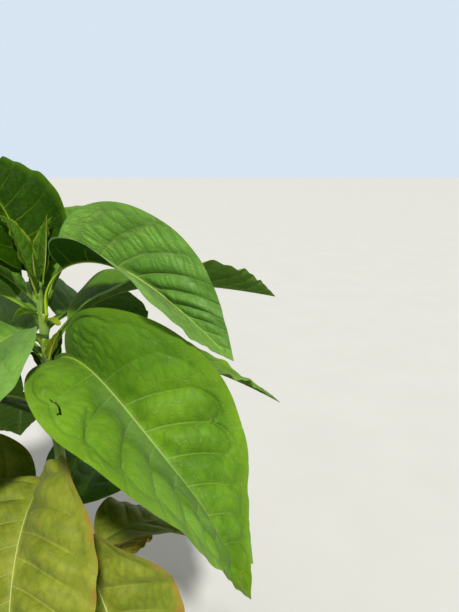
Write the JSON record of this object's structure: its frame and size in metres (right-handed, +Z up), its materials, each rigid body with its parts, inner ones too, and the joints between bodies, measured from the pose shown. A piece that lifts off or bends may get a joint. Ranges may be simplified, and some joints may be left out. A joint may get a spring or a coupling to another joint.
{
  "type": "tobacco plant",
  "caption": "Leafy crop plant: one upright green stem with large arching ovate leaves set spirally round it, a tip of small upright leaves, and withered leaves at its foot.",
  "frame": {"origin": "middle of the flat cut under the stem, at ground level", "axes": "+Z up along the stem; +X to the right and -Y towards the viewer of the picture"},
  "size_m": [0.9853, 0.9526, 1.3323],
  "materials": {
    "stem": "pale green, faintly ridged and hairy, browner and woody at the foot",
    "leaf": "satin mid green, puckered between pale veins, paler and matt underneath",
    "old_leaf": "olive to yellow green, satin, folded along pale veins",
    "young_leaf": "bright yellow green, soft, wavy at the margin",
    "withered_leaf": "dry, matt orange brown, curled and crumpled"
  },
  "bodies": {
    "root": {"stem": "stem", "growing_tip": "young_leaf", "young_leaf_1": "young_leaf", "young_leaf_2": "young_leaf", "young_leaf_3": "young_leaf", "young_leaf_4": "young_leaf", "young_leaf_5": "young_leaf", "upper_leaf_1": "leaf", "upper_leaf_2": "leaf", "upper_leaf_3": "leaf", "upper_leaf_4": "leaf", "leaf_01": "leaf", "leaf_02": "leaf", "leaf_03": "leaf", "leaf_04": "leaf", "leaf_05": "leaf", "leaf_06": "leaf", "leaf_07": "leaf", "leaf_08": "leaf", "leaf_09": "leaf", "leaf_10": "leaf", "leaf_11": "old_leaf", "leaf_12": "leaf", "leaf_13": "old_leaf", "leaf_14": "old_leaf", "leaf_15": "leaf", "leaf_16": "old_leaf", "leaf_17": "old_leaf", "leaf_18": "old_leaf", "leaf_19": "old_leaf", "leaf_20": "old_leaf", "withered_leaf_1": "withered_leaf", "withered_leaf_2": "withered_leaf", "withered_leaf_3": "withered_leaf", "shoot_leaf_1": "young_leaf", "shoot_leaf_2": "young_leaf", "shoot_leaf_3": "young_leaf", "shoot_leaf_4": "young_leaf", "shoot_leaf_5": "young_leaf", "shoot_leaf_6": "young_leaf", "shoot_leaf_7": "young_leaf", "shoot_leaf_8": "young_leaf"}
  },
  "joints": []
}
